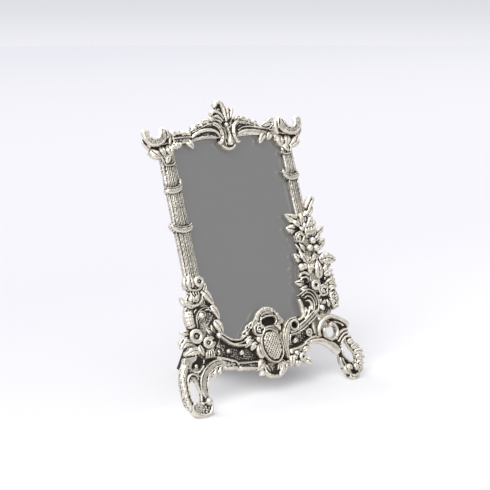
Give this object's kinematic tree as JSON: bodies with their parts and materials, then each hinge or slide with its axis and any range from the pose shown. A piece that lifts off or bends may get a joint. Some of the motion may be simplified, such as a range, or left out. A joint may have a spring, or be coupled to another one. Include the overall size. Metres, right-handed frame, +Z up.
{
  "type": "easel-back table mirror",
  "caption": "Standing rococo table mirror: cast silvered frame with pillars, shells, flowers and scrolled feet, velvet back board and folding easel strut.",
  "frame": {"origin": "centre of the bounding box on the table plane", "axes": "+X to the right as one looks into the mirror, -Y towards the person, +Z up"},
  "size_m": [0.1774, 0.1038, 0.2252],
  "materials": {
    "silvered_casting": "antiqued silver plate on cast pewter, near-black patina in the hollows",
    "plated_steel": "bright nickel plate, lightly scuffed",
    "mirror": "plane silvered glass",
    "greyboard": "uncoated grey packing board",
    "velvet": "black cotton velvet over fibreboard"
  },
  "bodies": {
    "frame": {"crest_rail": "silvered_casting", "shell_finial": "silvered_casting", "base_rail": "silvered_casting", "base_shell": "silvered_casting", "base_drop": "silvered_casting", "cartouche": "silvered_casting", "acanthus_scroll": "silvered_casting", "leaf_cluster": "silvered_casting", "flower_spray": "silvered_casting", "left_corner_scroll": "silvered_casting", "left_pillar": "silvered_casting", "left_foot_scroll": "silvered_casting", "right_corner_scroll": "silvered_casting", "right_pillar": "silvered_casting", "right_foot_scroll": "silvered_casting", "left_tray_rail": "silvered_casting", "right_tray_rail": "silvered_casting", "bottom_tray_rail": "silvered_casting", "top_tray_rail": "silvered_casting", "hinge_back_leaf": "plated_steel", "hinge_pin": "plated_steel", "back_leaf_rivet_1": "plated_steel", "back_leaf_rivet_2": "plated_steel", "button_screw_1": "plated_steel", "button_screw_2": "plated_steel", "button_screw_3": "plated_steel", "button_screw_4": "plated_steel", "mirror_glass": "mirror", "packing_card": "greyboard", "back_panel": "velvet"},
    "strut": {"strut_board": "velvet", "hinge_strut_leaf": "plated_steel", "strut_leaf_rivet_1": "plated_steel", "strut_leaf_rivet_2": "plated_steel"},
    "turn_button_1": {"turn_button_1": "plated_steel"},
    "turn_button_2": {"turn_button_2": "plated_steel"},
    "turn_button_3": {"turn_button_3": "plated_steel"},
    "turn_button_4": {"turn_button_4": "plated_steel"}
  },
  "joints": [
    {"name": "strut_hinge", "type": "hinge", "parent": "frame", "child": "strut", "pos_m": [0, 0.00995, 0.11341], "axis": [1, 0, 0], "range_deg": [-40.5, 0]},
    {"name": "turn_button_1_pivot", "type": "hinge", "parent": "frame", "child": "turn_button_1", "pos_m": [-0.0474, -0.01081, 0.06569], "axis": [0, 0.9317, -0.3633], "range_deg": [-90, 90]},
    {"name": "turn_button_2_pivot", "type": "hinge", "parent": "frame", "child": "turn_button_2", "pos_m": [0.0474, -0.01081, 0.06569], "axis": [0, 0.9317, -0.3633], "range_deg": [-90, 90]},
    {"name": "turn_button_3_pivot", "type": "hinge", "parent": "frame", "child": "turn_button_3", "pos_m": [-0.0474, 0.02915, 0.16817], "axis": [0, 0.9317, -0.3633], "range_deg": [-90, 90]},
    {"name": "turn_button_4_pivot", "type": "hinge", "parent": "frame", "child": "turn_button_4", "pos_m": [0.0474, 0.02915, 0.16817], "axis": [0, 0.9317, -0.3633], "range_deg": [-90, 90]}
  ]
}
